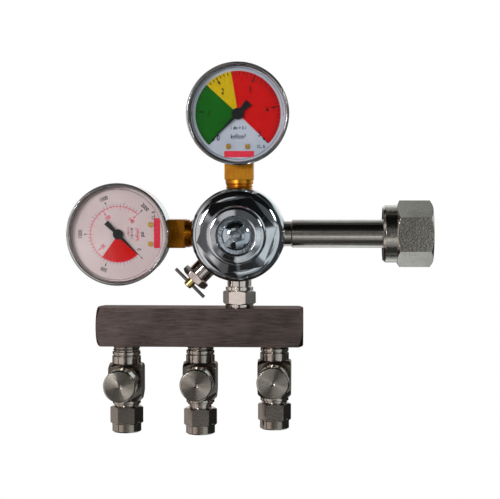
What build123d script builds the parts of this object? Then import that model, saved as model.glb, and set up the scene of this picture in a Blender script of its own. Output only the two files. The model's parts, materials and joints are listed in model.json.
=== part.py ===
from build123d import *
import os
from math import cos, pi, radians, sin

# Carbon dioxide pressure regulator for a drinks cylinder. A round body with a
# hexagonal bonnet in front carries a long inlet stem and union nut on the right, a
# delivery gauge on top, a cylinder gauge on the left and a relief valve between
# that gauge and the outlet. The outlet feeds a square manifold with three small
# shut-off valves for quarter inch tube.
#
# Millimetres. +X runs out of the inlet nut, -Y is the front and +Z is up. The
# origin is on the inlet axis, where the washer meets the cylinder valve.

# Driving dimensions
REACH = 82.5            # washer face to the axis of the body
BODY_R = 22.8
BODY_BACK = -13.0       # heights along the body axis count towards the front
BODY_RIM = 15.0
NOSE = 34.0             # front edge of the bonnet
BONNET_FLATS = 34.0
BONNET_TURN = 10.0      # degrees that its hexagon has stopped at
NUT_FLATS = 28.58       # one and an eighth inch spanner
NUT_MOUTH = 13.0        # washer face to the open end of the nut
STEM_R = 7.0
BAR = 19.05             # square bar of the manifold
BAR_LENGTH = 102.5
BAR_TOP = 36.65         # body axis down to the top of the bar
BAR_SHIFT = -19.5       # body axis to the middle of the bar
OUTLET_PITCH = 37.0
STAND_OFFS = (2.5, 1.7, 0.5)      # thread left showing above each shut-off valve
NUT_DROPS = (0.0, 1.5, 0.0)       # how far each tube nut is backed off
TUBE_R = 3.25           # socket for quarter inch tube
GAUGE_REACH = 58.7      # body axis to the centre of either gauge
GAUGE_R = 25.0
GAUGE_BACK = -9.5       # heights in a gauge count from its stem axis to the front
GAUGE_FRONT = 18.3
POINTER_REST = 225.0    # degrees, where either scale has its zero

# Threads and fits
PIPE_R = 6.8            # quarter inch pipe thread
PIPE_ROOT_R = 6.2       # its bare stretches are drawn at the root of the thread
RELIEF_PIPE_R = 5.15    # eighth inch pipe thread
BONNET_THREAD_R = 19.0
SCREW_THREAD_R = 9.0
INLET_THREAD_R = 9.6    # minor radius of the cylinder valve thread
TUBE_THREAD_R = 5.55    # seven sixteenths compression thread
RUNNING = 0.05          # radial clearance where one piece turns or slides in another
CHAMFER_SLOPE = 0.577   # thirty degree lathe chamfer on hexagons and squares

FRONT = (0, -1, 0)
RIGHT = (1, 0, 0)
LEFT = (-1, 0, 0)
UP = (0, 0, 1)
DOWN = (0, 0, -1)
CENTRE = Vector(-REACH, 0, 0)

core = Plane(origin=CENTRE, x_dir=RIGHT, z_dir=FRONT)
side_view = Plane(origin=CENTRE, x_dir=RIGHT, z_dir=DOWN)
top_port = Plane(origin=CENTRE, x_dir=RIGHT, z_dir=UP)
left_port = Plane(origin=CENTRE, x_dir=UP, z_dir=LEFT)
right_port = Plane(origin=CENTRE, x_dir=UP, z_dir=RIGHT)
bottom_port = Plane(origin=CENTRE, x_dir=RIGHT, z_dir=DOWN)
relief_port = Plane(origin=CENTRE, x_dir=(1, 0, -1), z_dir=(-1, 0, -1))
inlet = Plane(origin=(0, 0, 0), x_dir=UP, z_dir=RIGHT)

os.makedirs("parts", exist_ok=True)


def keep(piece, name):
    """Labels a finished piece and writes it."""
    piece.part.label = name
    export_step(piece.part, f"parts/{name}.step")


def turn(plane, *outline, mode=Mode.ADD):
    """Turns an outline of (radius, height) corners about the plane's z axis."""
    side = Plane(origin=plane.origin, x_dir=plane.x_dir, z_dir=-plane.y_dir)
    with BuildSketch(side) as half:
        with BuildLine():
            Polyline(*outline, close=True)
        make_face()
    revolve(half.sketch, axis=Axis(plane.origin, plane.z_dir), mode=mode)


def rod(plane, radius, low, high, mode=Mode.ADD, at=(0, 0)):
    """A cylinder along the plane's z axis between two heights."""
    with BuildSketch(plane.offset(low)) as end:
        with Locations(at):
            Circle(radius)
    extrude(end.sketch, amount=high - low, mode=mode)


def bore(plane, radius, low, high, at=(0, 0)):
    rod(plane, radius, low, high, mode=Mode.SUBTRACT, at=at)


def bar(plane, flats, sides, low, high, spin=0.0):
    """Square or hexagonal stock with a flat towards the plane's y axis."""
    square_on = 45.0 if sides == 4 else 0.0
    with BuildSketch(plane.offset(low)) as end:
        RegularPolygon(flats / 2, sides, major_radius=False, rotation=square_on + spin)
    extrude(end.sketch, amount=high - low)


def across_corners_r(flats, sides):
    return flats / 2 / cos(pi / sides)


def turned_bar(plane, flats, sides, low, high, spin=0.0, ends=(True, True)):
    """Stock whose corners are chamfered in the lathe at one end or both."""
    bar(plane, flats, sides, low, high, spin)
    corner = across_corners_r(flats, sides) + RUNNING
    land = flats / 2 - 0.2
    drop = (corner - land) * CHAMFER_SLOPE
    foot = (land, low), (corner, low + drop)
    head = (corner, high - drop), (land, high)
    square_foot = (corner, low),
    square_head = (corner, high),
    lower = foot if ends[0] else square_foot
    upper = head if ends[1] else square_head
    turn(plane, (0, low), *lower, *upper, (0, high), mode=Mode.INTERSECT)


def coil(name, plane, coil_r, wire_r, low, high, turns):
    """An open compression spring wound about the plane's z axis."""
    with BuildPart() as spring:
        rise = high - low - 2 * wire_r
        with BuildLine(plane.offset(low + wire_r)) as wire:
            Helix(pitch=rise / turns, height=rise, radius=coil_r, direction=plane.z_dir)
        with BuildSketch(Plane(wire.line @ 0, z_dir=wire.line % 0)):
            Rectangle(1.8 * wire_r, 1.8 * wire_r)
        sweep(is_frenet=True)
    keep(spring, name)


# Body: a brass turning bored from the front, with the cylinder side behind the seat
# and the delivery side under the diaphragm.
PORT_FLOOR = 13.0       # distance from the body axis to the bottom of each pipe port
RELIEF_FLOOR = 17.5     # the relief port is shallower, between two of them
SEAT_LEDGE = 1.0
CHAMBER_FLOOR = 3.5
DIAPHRAGM_LEDGE = 7.0
CHAMBER_R = 15.5
HIGH_CHAMBER_R = 6.0
HIGH_CHAMBER_BACK = -8.0
NOZZLE_R = 7.0
EDGE = 0.8
DELIVERY_DRILL = 11.2   # distance from the body axis to each delivery drilling
GAS_R = 1.8

with BuildPart() as regulator_body:
    turn(core, (0, BODY_BACK), (BODY_R - 1.6, BODY_BACK), (BODY_R, BODY_BACK + 1.6),
         (BODY_R, BODY_RIM - EDGE), (BODY_R - EDGE, BODY_RIM), (0, BODY_RIM))
    bore(core, BONNET_THREAD_R, DIAPHRAGM_LEDGE, BODY_RIM)
    bore(core, CHAMBER_R, CHAMBER_FLOOR, DIAPHRAGM_LEDGE)
    bore(core, NOZZLE_R, SEAT_LEDGE, CHAMBER_FLOOR)
    bore(core, HIGH_CHAMBER_R, HIGH_CHAMBER_BACK, SEAT_LEDGE)
    for port, thread_r, floor in ((top_port, PIPE_R, PORT_FLOOR),
                                  (bottom_port, PIPE_R, PORT_FLOOR),
                                  (relief_port, RELIEF_PIPE_R, RELIEF_FLOOR)):
        bore(port, thread_r, floor, BODY_R + 1)
        bore(port, GAS_R, DELIVERY_DRILL, floor)
        drilling = Plane(origin=port.origin + port.z_dir * DELIVERY_DRILL,
                         x_dir=RIGHT, z_dir=FRONT)
        bore(drilling, GAS_R * 0.8, -GAS_R / 2, CHAMBER_FLOOR)
    for port in (left_port, right_port):
        bore(port, PIPE_R, PORT_FLOOR, BODY_R + 1)
        bore(port, GAS_R, HIGH_CHAMBER_R / 2, PORT_FLOOR)
keep(regulator_body, "regulator_body")

# Seat, poppet and its spring, which shut off the cylinder gas.
NOZZLE_HEAD = 4.8
LIP = 0.6
ORIFICE_R = 1.2
PIN_R = 0.8
POPPET_BACK = -3.6

with BuildPart() as seat_nozzle:
    turned_bar(core, 9.5, 6, CHAMBER_FLOOR, NOZZLE_HEAD, ends=(False, True))
    rod(core, NOZZLE_R, SEAT_LEDGE, CHAMBER_FLOOR)
    turn(core, (0, SEAT_LEDGE - LIP), (1.9, SEAT_LEDGE - LIP), (2.6, SEAT_LEDGE),
         (0, SEAT_LEDGE))
    bore(core, ORIFICE_R, SEAT_LEDGE - LIP, NOZZLE_HEAD)
keep(seat_nozzle, "seat_nozzle")

with BuildPart() as poppet:
    bar(core, 10.2, 6, POPPET_BACK, 0)
    rod(core, 3.2, 0, SEAT_LEDGE - LIP)
    rod(core, PIN_R, 0, DIAPHRAGM_LEDGE - 0.1)
    rod(core, 1.9, POPPET_BACK - 1.2, POPPET_BACK)
keep(poppet, "poppet")

coil("poppet_spring", core, 2.7, 0.35, HIGH_CHAMBER_BACK, POPPET_BACK, 4)

# Diaphragm stack, from the rubber disc up to the plate that takes the spring.
DIAPHRAGM_TOP = DIAPHRAGM_LEDGE + 1.4
RING_TOP = DIAPHRAGM_TOP + 1.0
PLATE_TOP = DIAPHRAGM_TOP + 1.7
DISC_R = BONNET_THREAD_R - 0.2

with BuildPart() as diaphragm:
    turn(core, (0, DIAPHRAGM_LEDGE), (DISC_R, DIAPHRAGM_LEDGE), (DISC_R, DIAPHRAGM_TOP),
         (0, DIAPHRAGM_TOP))
keep(diaphragm, "diaphragm")

with BuildPart() as slip_ring:
    rod(core, DISC_R, DIAPHRAGM_TOP, RING_TOP)
    bore(core, CHAMBER_R, DIAPHRAGM_TOP, RING_TOP)
keep(slip_ring, "slip_ring")

with BuildPart() as diaphragm_plate:
    turn(core, (0, DIAPHRAGM_TOP), (11, DIAPHRAGM_TOP), (11, PLATE_TOP),
         (4.9, PLATE_TOP), (4.5, PLATE_TOP + 1.6), (0, PLATE_TOP + 1.6))
keep(diaphragm_plate, "diaphragm_plate")

# Bonnet: screws into the rim of the body, holds the spring and takes the adjusting
# screw through its nose. The flange is crowned in the lathe, and the corners of the
# hexagon are turned off in one long cone that runs up to the nose.
FLANGE_EDGE = 17.3      # the flange is straight up to here
FLANGE_TOP = 21.2
FLANGE_LAND_R = 16.4    # and crowned from there in to here
BONNET_HEX_FROM = 18.0
HEX_TOP = 29.0
CONE_SLOPE = 0.6
NOSE_R = 14.3
NOSE_BREAK = 2.3        # how far the round on the nose comes in and down
SPRING_ROOM_R = 12.2
ROOM_TOP = 21.6

with BuildPart() as bonnet:
    bar(core, BONNET_FLATS, 6, BONNET_HEX_FROM, HEX_TOP, BONNET_TURN)
    corner = across_corners_r(BONNET_FLATS, 6) + RUNNING
    turn(core, (0, BONNET_HEX_FROM), (corner, BONNET_HEX_FROM),
         (corner, HEX_TOP - (corner - NOSE_R) * CONE_SLOPE), (NOSE_R, HEX_TOP), (0, HEX_TOP),
         mode=Mode.INTERSECT)
    with BuildSketch(side_view) as flange:
        with BuildLine():
            Polyline((0, RING_TOP), (BONNET_THREAD_R, RING_TOP), (BONNET_THREAD_R, BODY_RIM),
                     (BODY_R - EDGE, BODY_RIM), (BODY_R, BODY_RIM + EDGE),
                     (BODY_R, FLANGE_EDGE))
            ThreePointArc((BODY_R, FLANGE_EDGE), (BODY_R - 1.9, FLANGE_TOP - 1.1),
                          (FLANGE_LAND_R, FLANGE_TOP))
            Polyline((FLANGE_LAND_R, FLANGE_TOP), (0, FLANGE_TOP), (0, RING_TOP))
        make_face()
    revolve(flange.sketch, axis=Axis(core.origin, core.z_dir))
    with BuildSketch(side_view) as nose:
        with BuildLine():
            Polyline((0, BONNET_HEX_FROM), (NOSE_R, BONNET_HEX_FROM), (NOSE_R, NOSE - NOSE_BREAK))
            ThreePointArc((NOSE_R, NOSE - NOSE_BREAK),
                          (NOSE_R - 0.3 * NOSE_BREAK, NOSE - 0.42 * NOSE_BREAK),
                          (NOSE_R - NOSE_BREAK, NOSE - 0.3))
            Polyline((NOSE_R - NOSE_BREAK, NOSE - 0.3), (SCREW_THREAD_R + 0.8, NOSE), (0, NOSE),
                     (0, BONNET_HEX_FROM))
        make_face()
    revolve(nose.sketch, axis=Axis(core.origin, core.z_dir))
    turn(core, (0, RING_TOP), (SPRING_ROOM_R, RING_TOP), (SPRING_ROOM_R, ROOM_TOP - 2),
         (SPRING_ROOM_R - 2, ROOM_TOP), (0, ROOM_TOP), mode=Mode.SUBTRACT)
    bore(core, SCREW_THREAD_R + RUNNING, ROOM_TOP, NOSE)
    turn(core, (0, NOSE - 0.7), (SCREW_THREAD_R, NOSE - 0.7), (SCREW_THREAD_R + 0.8, NOSE),
         (0, NOSE), mode=Mode.SUBTRACT)
keep(bonnet, "bonnet")

# Adjusting screw, domed and slotted, over the seat that caps the spring. Both are
# drawn backed right out.
SCREW_FOOT = 24.4
SCREW_SHOULDER = 29.8
DOME_R = 7.0
DOME_TOP = 32.8
SLOT = 2.3
SLOT_ANGLE = 43.0
SEAT_THICKNESS = 2.2

with BuildPart() as adjusting_screw:
    rod(core, SCREW_THREAD_R, SCREW_FOOT, SCREW_SHOULDER)
    with BuildSketch(side_view) as dome:
        with BuildLine():
            Polyline((0, SCREW_SHOULDER), (DOME_R, SCREW_SHOULDER), (DOME_R, DOME_TOP - 1.4))
            ThreePointArc((DOME_R, DOME_TOP - 1.4), (DOME_R * 0.72, DOME_TOP - 0.4), (0, DOME_TOP))
            Line((0, DOME_TOP), (0, SCREW_SHOULDER))
        make_face()
    revolve(dome.sketch, axis=Axis(core.origin, core.z_dir))
    with BuildSketch(core.offset(DOME_TOP - 2.4)) as slot:
        Rectangle(3 * DOME_R, SLOT, rotation=SLOT_ANGLE)
    extrude(slot.sketch, amount=NOSE, mode=Mode.SUBTRACT)
keep(adjusting_screw, "adjusting_screw")

with BuildPart() as upper_spring_seat:
    turn(core, (0, SCREW_FOOT - SEAT_THICKNESS - 1.6), (4.5, SCREW_FOOT - SEAT_THICKNESS - 1.6),
         (4.9, SCREW_FOOT - SEAT_THICKNESS), (8.5, SCREW_FOOT - SEAT_THICKNESS),
         (8.5, SCREW_FOOT - 0.6), (7.9, SCREW_FOOT), (0, SCREW_FOOT))
keep(upper_spring_seat, "upper_spring_seat")

coil("regulating_spring", core, 6.2, 0.9, PLATE_TOP, SCREW_FOOT - SEAT_THICKNESS, 3.5)

# Inlet: stem with its flange, filter and washer, and the union nut round them.
STEM_NECK_R = 6.3
STEM_FROM = -REACH + PORT_FLOOR
NECK_FROM = -REACH + BODY_R - 0.6
NECK_TO = NECK_FROM + 3.6
WASHER = 2.4
FLANGE_R = 9.0
FLANGE = 3.4
NUT_SHOULDER_R = 14.2
NUT_BACK = -11.6
HEX_FROM = -4.8
UNDERCUT_R = 10.4
FILTER_R = 3.2
FILTER_LENGTH = 9.0

with BuildPart() as inlet_stem:
    turn(inlet, (0, STEM_FROM), (PIPE_R, STEM_FROM), (PIPE_R, NECK_FROM),
         (STEM_NECK_R, NECK_FROM), (STEM_NECK_R, NECK_TO), (STEM_R, NECK_TO + 0.5),
         (STEM_R, -WASHER - FLANGE), (FLANGE_R, -WASHER - FLANGE), (FLANGE_R, -WASHER),
         (0, -WASHER))
    bore(inlet, GAS_R, STEM_FROM, -WASHER)
    bore(inlet, FILTER_R, -WASHER - FILTER_LENGTH, -WASHER)
keep(inlet_stem, "inlet_stem")

with BuildPart() as inlet_filter:
    rod(inlet, FILTER_R, -WASHER - FILTER_LENGTH, -WASHER)
keep(inlet_filter, "inlet_filter")

with BuildPart() as inlet_washer:
    rod(inlet, FLANGE_R, -WASHER, 0)
    bore(inlet, FILTER_R, -WASHER, 0)
keep(inlet_washer, "inlet_washer")

NUT_SEAT = -WASHER - FLANGE - RUNNING

with BuildPart() as inlet_nut:
    turned_bar(inlet, NUT_FLATS, 6, HEX_FROM, NUT_MOUTH)
    turn(inlet, (0, NUT_BACK), (NUT_SHOULDER_R - 1.0, NUT_BACK),
         (NUT_SHOULDER_R, NUT_BACK + 1.2), (NUT_SHOULDER_R, HEX_FROM + 1), (0, HEX_FROM + 1))
    bore(inlet, STEM_R + RUNNING, NUT_BACK, NUT_SEAT)
    bore(inlet, UNDERCUT_R, NUT_SEAT, 0)
    bore(inlet, INLET_THREAD_R, 0, NUT_MOUTH)
keep(inlet_nut, "inlet_nut")

# Relief valve with its pull bar.
RELIEF_HEX_FROM = 28.9
RELIEF_HEX_TO = 32.7
RELIEF_SEAT = RELIEF_FLOOR + 1.6
RELIEF_ROOF = 28.4
RELIEF_ROOM_R = 3.6
RELIEF_HEAD_R = 3.1
RELIEF_HEAD_TOP = RELIEF_SEAT + 2.0
GUIDE_R = 2.2
GUIDE_FROM = 27.4
GUIDE_TO = 37.0
PULL_AT = 34.9
PULL_R = 0.85
PULL_LENGTH = 20.0

with BuildPart() as relief_body:
    turned_bar(relief_port, 12.7, 6, RELIEF_HEX_FROM, RELIEF_HEX_TO)
    turn(relief_port, (0, RELIEF_FLOOR), (RELIEF_PIPE_R, RELIEF_FLOOR),
         (RELIEF_PIPE_R, BODY_R + 0.1), (5.45, BODY_R + 0.4), (5.45, RELIEF_HEX_FROM + 1),
         (0, RELIEF_HEX_FROM + 1))
    bore(relief_port, GAS_R, RELIEF_FLOOR, RELIEF_SEAT)
    bore(relief_port, RELIEF_ROOM_R, RELIEF_SEAT, RELIEF_ROOF)
    bore(relief_port, GUIDE_R + RUNNING, RELIEF_ROOF, RELIEF_HEX_TO)
keep(relief_body, "relief_body")

pull_line = Plane(origin=relief_port.origin + relief_port.z_dir * PULL_AT,
                  x_dir=FRONT, z_dir=relief_port.x_dir)

with BuildPart() as relief_stem:
    turn(relief_port, (0, RELIEF_SEAT), (RELIEF_HEAD_R, RELIEF_SEAT),
         (RELIEF_HEAD_R, RELIEF_HEAD_TOP), (1.3, RELIEF_HEAD_TOP), (1.3, GUIDE_FROM),
         (GUIDE_R, GUIDE_FROM), (GUIDE_R, GUIDE_TO - 0.4), (GUIDE_R - 0.4, GUIDE_TO),
         (0, GUIDE_TO))
    bore(pull_line, PULL_R, -GUIDE_R - 1, GUIDE_R + 1)
keep(relief_stem, "relief_stem")

with BuildPart() as relief_crossbar:
    turn(pull_line, (0, -PULL_LENGTH / 2), (PULL_R - 0.2, -PULL_LENGTH / 2),
         (PULL_R, 0.2 - PULL_LENGTH / 2), (PULL_R, PULL_LENGTH / 2 - 0.2),
         (PULL_R - 0.2, PULL_LENGTH / 2), (0, PULL_LENGTH / 2))
keep(relief_crossbar, "relief_crossbar")

coil("relief_spring", relief_port, 2.8, 0.4, RELIEF_HEAD_TOP, RELIEF_ROOF, 5)

# Outlet nipple and the manifold under it.
NIPPLE_TURN = 6.0
NIPPLE_FLATS = 14.29
BAR_BOTTOM = BAR_TOP + BAR
BAR_THREAD = 9.0        # depth of every tapping in the bar
BAR_MIDDLE = (BAR_TOP + BAR_BOTTOM) / 2
BAR_GAS_R = 2.5
PLUG_R = 4.6
PLUG_LENGTH = 6.0

with BuildPart() as outlet_nipple:
    turned_bar(bottom_port, NIPPLE_FLATS, 6, 28.2, BAR_TOP - 1.5, NIPPLE_TURN)
    turn(bottom_port, (0, PORT_FLOOR), (PIPE_R, PORT_FLOOR), (PIPE_R, BODY_R - 0.6),
         (5.95, BODY_R - 0.6), (5.95, 26.2), (6.85, 26.4), (6.85, 28.0), (6.2, 28.4),
         (6.2, BAR_TOP - 1.7), (7.0, BAR_TOP - 1.5), (7.0, BAR_TOP), (PIPE_R, BAR_TOP),
         (PIPE_R, BAR_TOP + BAR_THREAD), (0, BAR_TOP + BAR_THREAD))
    bore(bottom_port, GAS_R, PORT_FLOOR, BAR_TOP + BAR_THREAD)
keep(outlet_nipple, "outlet_nipple")

bar_left = Plane(origin=CENTRE + Vector(BAR_SHIFT - BAR_LENGTH / 2, 0, -BAR_MIDDLE),
                 x_dir=UP, z_dir=RIGHT)
valve_ports = [Plane(origin=CENTRE + Vector(BAR_SHIFT + step * OUTLET_PITCH, 0, -BAR_BOTTOM),
                     x_dir=RIGHT, z_dir=DOWN) for step in (-1, 0, 1)]

with BuildPart() as manifold:
    turned_bar(bar_left, BAR, 4, 0, BAR_LENGTH)
    bore(bottom_port, PIPE_R, BAR_TOP, BAR_TOP + BAR_THREAD)
    for port in valve_ports:
        bore(port, PIPE_R, -BAR_THREAD, 0)
        bore(port, BAR_GAS_R, -BAR / 2, 0)
    bore(bar_left, BAR_GAS_R, PLUG_LENGTH, BAR_LENGTH - PLUG_LENGTH)
    bore(bar_left, PLUG_R, 0, PLUG_LENGTH)
keep(manifold, "manifold")

with BuildPart() as manifold_plug:
    rod(bar_left, PLUG_R, 0.4, PLUG_LENGTH)
    with BuildSketch(bar_left) as key:
        RegularPolygon(2.4, 6, major_radius=False)
    extrude(key.sketch, amount=3.4, mode=Mode.SUBTRACT)
keep(manifold_plug, "manifold_plug")

# Shut-off valves. Heights count down from the bottom of the bar, and those of the
# stem, gland and knob count from the valve's axis to the front.
VALVE_FLATS = 16.5
COLLAR_FROM = 0.5
NECK_R = 7.15
SQUARE_FROM = 6.6
SQUARE_TO = 22.8
TAIL_NECK = 25.4
TAIL_SHOULDER = 27.6
THREAD_TO = 36.5
STEM_AT = (SQUARE_FROM + SQUARE_TO) / 2
VALVE_STEM_R = 2.0
GLAND_R = 4.8
GLAND_FLATS = 11.1
GLAND_FROM = 3.6
GLAND_TO = 15.6
KNOB_R = 7.9
KNOB_BACK = 19.4
KNOB_FRONT = 29.6
NIB_R = 0.5             # end of the stem, riveted over in the face of its knob
NUT_LENGTH = 13.1
NUT_HEX = 9.0
NUT_TAIL_R = 7.25
FERRULE_R = 4.3


def shut_off_valve(number, port, stand_off, nut_drop):
    # the body, turned and milled from square bar, with its drillings and tube socket
    body = port.offset(stand_off)
    stem = Plane(origin=body.origin + body.z_dir * STEM_AT, x_dir=RIGHT, z_dir=FRONT)
    with BuildPart() as valve_body:
        bar(body, VALVE_FLATS, 4, SQUARE_FROM, TAIL_NECK)
        corner = across_corners_r(VALVE_FLATS, 4) + RUNNING
        land = VALVE_FLATS / 2 - 0.1
        drop = (corner - land) * CHAMFER_SLOPE
        turn(body, (0, SQUARE_FROM), (land, SQUARE_FROM), (corner, SQUARE_FROM + drop),
             (corner, TAIL_NECK - corner + STEM_R), (STEM_R, TAIL_NECK), (0, TAIL_NECK),
             mode=Mode.INTERSECT)
        turn(body, (0, -BAR_THREAD - stand_off), (PIPE_R - 0.3, -BAR_THREAD - stand_off),
             (PIPE_R, -BAR_THREAD), (PIPE_R, -stand_off), (PIPE_ROOT_R, -stand_off),
             (PIPE_ROOT_R, COLLAR_FROM), (7.0, COLLAR_FROM + 0.3),
             (7.0, 2.1), (6.5, 2.3), (6.5, 2.7), (NECK_R, 3.0), (NECK_R, SQUARE_FROM + 1),
             (0, SQUARE_FROM + 1))
        turn(body, (0, SQUARE_TO), (STEM_R, SQUARE_TO), (STEM_R, TAIL_SHOULDER - 0.9),
             (6.3, TAIL_SHOULDER - 0.7), (6.3, TAIL_SHOULDER),
             (TUBE_THREAD_R - RUNNING, TAIL_SHOULDER), (TUBE_THREAD_R - RUNNING, THREAD_TO),
             (0, THREAD_TO))
        bore(body, GAS_R, -BAR_THREAD - stand_off, THREAD_TO)
        bore(body, TUBE_R, THREAD_TO - 7, THREAD_TO)
        turn(body, (0, THREAD_TO - 1.6), (TUBE_R, THREAD_TO - 1.6), (FERRULE_R, THREAD_TO),
             (0, THREAD_TO), mode=Mode.SUBTRACT)
        bore(stem, GLAND_R, GLAND_FROM, VALVE_FLATS / 2)
        bore(stem, VALVE_STEM_R + 0.3, -2.2, GLAND_FROM)
    keep(valve_body, f"valve_{number}_body")

    with BuildPart() as gland:
        turned_bar(stem, GLAND_FLATS, 6, VALVE_FLATS / 2, GLAND_TO, ends=(False, True))
        rod(stem, GLAND_R, GLAND_FROM, VALVE_FLATS / 2)
        bore(stem, VALVE_STEM_R + RUNNING, GLAND_FROM, GLAND_TO)
    keep(gland, f"valve_{number}_gland")

    with BuildPart() as needle:
        turn(stem, (0, -2.0), (0.5, -2.0), (VALVE_STEM_R, 0.4), (VALVE_STEM_R, KNOB_FRONT - 0.9),
             (NIB_R, KNOB_FRONT - 0.9), (NIB_R - 0.1, KNOB_FRONT + 0.1), (0, KNOB_FRONT + 0.1))
    keep(needle, f"valve_{number}_stem")

    # the knob has a cupped back, so that it clears the gland
    with BuildPart() as knob:
        turn(stem, (0, KNOB_BACK + 2.0), (3.6, KNOB_BACK + 2.0), (3.6, KNOB_BACK + 0.6),
             (6.6, KNOB_BACK), (KNOB_R - 0.4, KNOB_BACK), (KNOB_R, KNOB_BACK + 0.5),
             (KNOB_R, KNOB_FRONT - 0.8), (KNOB_R - 0.7, KNOB_FRONT), (2.2, KNOB_FRONT),
             (0, KNOB_FRONT - 0.25))
        bore(stem, VALVE_STEM_R + RUNNING, KNOB_BACK, KNOB_FRONT - 0.9)
        bore(stem, NIB_R + RUNNING, KNOB_BACK, KNOB_FRONT)
    keep(knob, f"valve_{number}_knob")

    # the tube nut and the ferrule that it squeezes
    nut = body.offset(TAIL_SHOULDER + 0.4 + nut_drop)
    hex_turn = -4.0
    with BuildPart() as tube_nut:
        turned_bar(nut, NIPPLE_FLATS, 6, 0, NUT_HEX, hex_turn)
        turn(nut, (0, NUT_HEX - 1), (NUT_TAIL_R, NUT_HEX - 1), (NUT_TAIL_R, NUT_LENGTH - 0.6),
             (NUT_TAIL_R - 0.9, NUT_LENGTH), (0, NUT_LENGTH))
        bore(nut, TUBE_THREAD_R, 0, NUT_HEX)
        turn(nut, (0, NUT_HEX), (TUBE_THREAD_R, NUT_HEX), (FERRULE_R, NUT_HEX + 1.4),
             (TUBE_R, NUT_HEX + 2.4), (0, NUT_HEX + 2.4), mode=Mode.SUBTRACT)
        bore(nut, TUBE_R, NUT_HEX, NUT_LENGTH)
    keep(tube_nut, f"valve_{number}_nut")

    with BuildPart() as ferrule:
        seat = NUT_HEX + 2.4
        turn(nut, (0, seat - 4.2), (TUBE_R + 0.15, seat - 4.2), (FERRULE_R, seat - 1.0),
             (TUBE_R, seat), (0, seat))
        bore(nut, TUBE_R, seat - 5, seat)
    keep(ferrule, f"valve_{number}_ferrule")


for index, port in enumerate(valve_ports):
    shut_off_valve(index + 1, port, STAND_OFFS[index], NUT_DROPS[index])

# Pressure gauges. In plan a dial has its x axis to the 3 o'clock side and its stem
# at 6 o'clock, and heights count from the stem's axis to the front.
CASE_R = 24.3
CASE_WALL = 0.9
CASE_ROOM_R = 23.3
BEZEL_FROM = 13.8
DIAL_BACK = 12.6
DIAL_FACE = 13.2
DIAL_R = 23.1
LENS_BACK = 15.6
LENS_TOP = 17.6
POINTER_BACK = 14.2
POINTER_TOP = 14.7
BLOCK_END = GAUGE_REACH - 26.7    # dial centre to the end of the spanner square
COLLAR_END = BLOCK_END + 1.9
COLLAR_R = 6.9
BLOCK_FLATS = 14.0
BLOCK_WIDTH = 13.0
BLOCK_FROM = 12.2
BLOCK_TO = 19.6
DIAL_SCREW_SPACING = 9.4
DIAL_SCREW_DOWN = 15.9
TUBE_COIL_R = 18.2
TUBE_FROM = -72.0
TUBE_SWEEP = 250.0
ARBOR_R = 0.8
PIVOT_R = 0.7
PINION_TEETH = 10
SECTOR_TEETH = 60       # as a full wheel, of which the sector keeps ten
MODULE = 0.3
PINION_R = MODULE * PINION_TEETH / 2
SECTOR_R = MODULE * SECTOR_TEETH / 2
PLATE_BACK = 2.0
PLATE_FRONT = 9.0
PLATE = 1.0
PILLARS = [(-6.5, -10.4), (6.5, -10.4), (0, 4.2)]


def polar(radius, angle, centre=(0, 0)):
    return (centre[0] + radius * cos(radians(angle)), centre[1] + radius * sin(radians(angle)))


def teeth(pitch_r, wheel, angles, centre=(0, 0)):
    """Corners of short clock teeth standing on a wheel at the given angles."""
    step = 360 / wheel
    root = pitch_r - 1.2 * MODULE
    tip = pitch_r + 0.8 * MODULE
    corners = []
    for angle in angles:
        corners += [polar(root, angle - 0.24 * step, centre),
                    polar(tip, angle - 0.09 * step, centre),
                    polar(tip, angle + 0.09 * step, centre),
                    polar(root, angle + 0.24 * step, centre)]
    return corners


def bourdon_ring(dial, radial, axial, start, sweep_angle, mode=Mode.ADD):
    """A C-shaped tube of oval section round the dial's axis."""
    cosine, sine = cos(radians(start)), sin(radians(start))
    section = Plane(origin=dial.origin, x_dir=dial.x_dir * cosine + dial.y_dir * sine,
                    z_dir=dial.x_dir * sine - dial.y_dir * cosine)
    with BuildSketch(section) as oval:
        with Locations((TUBE_COIL_R, PLATE_BACK + 0.5)):
            Ellipse(radial, axial)
    revolve(oval.sketch, axis=Axis(dial.origin, dial.z_dir), revolution_arc=sweep_angle, mode=mode)


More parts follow.
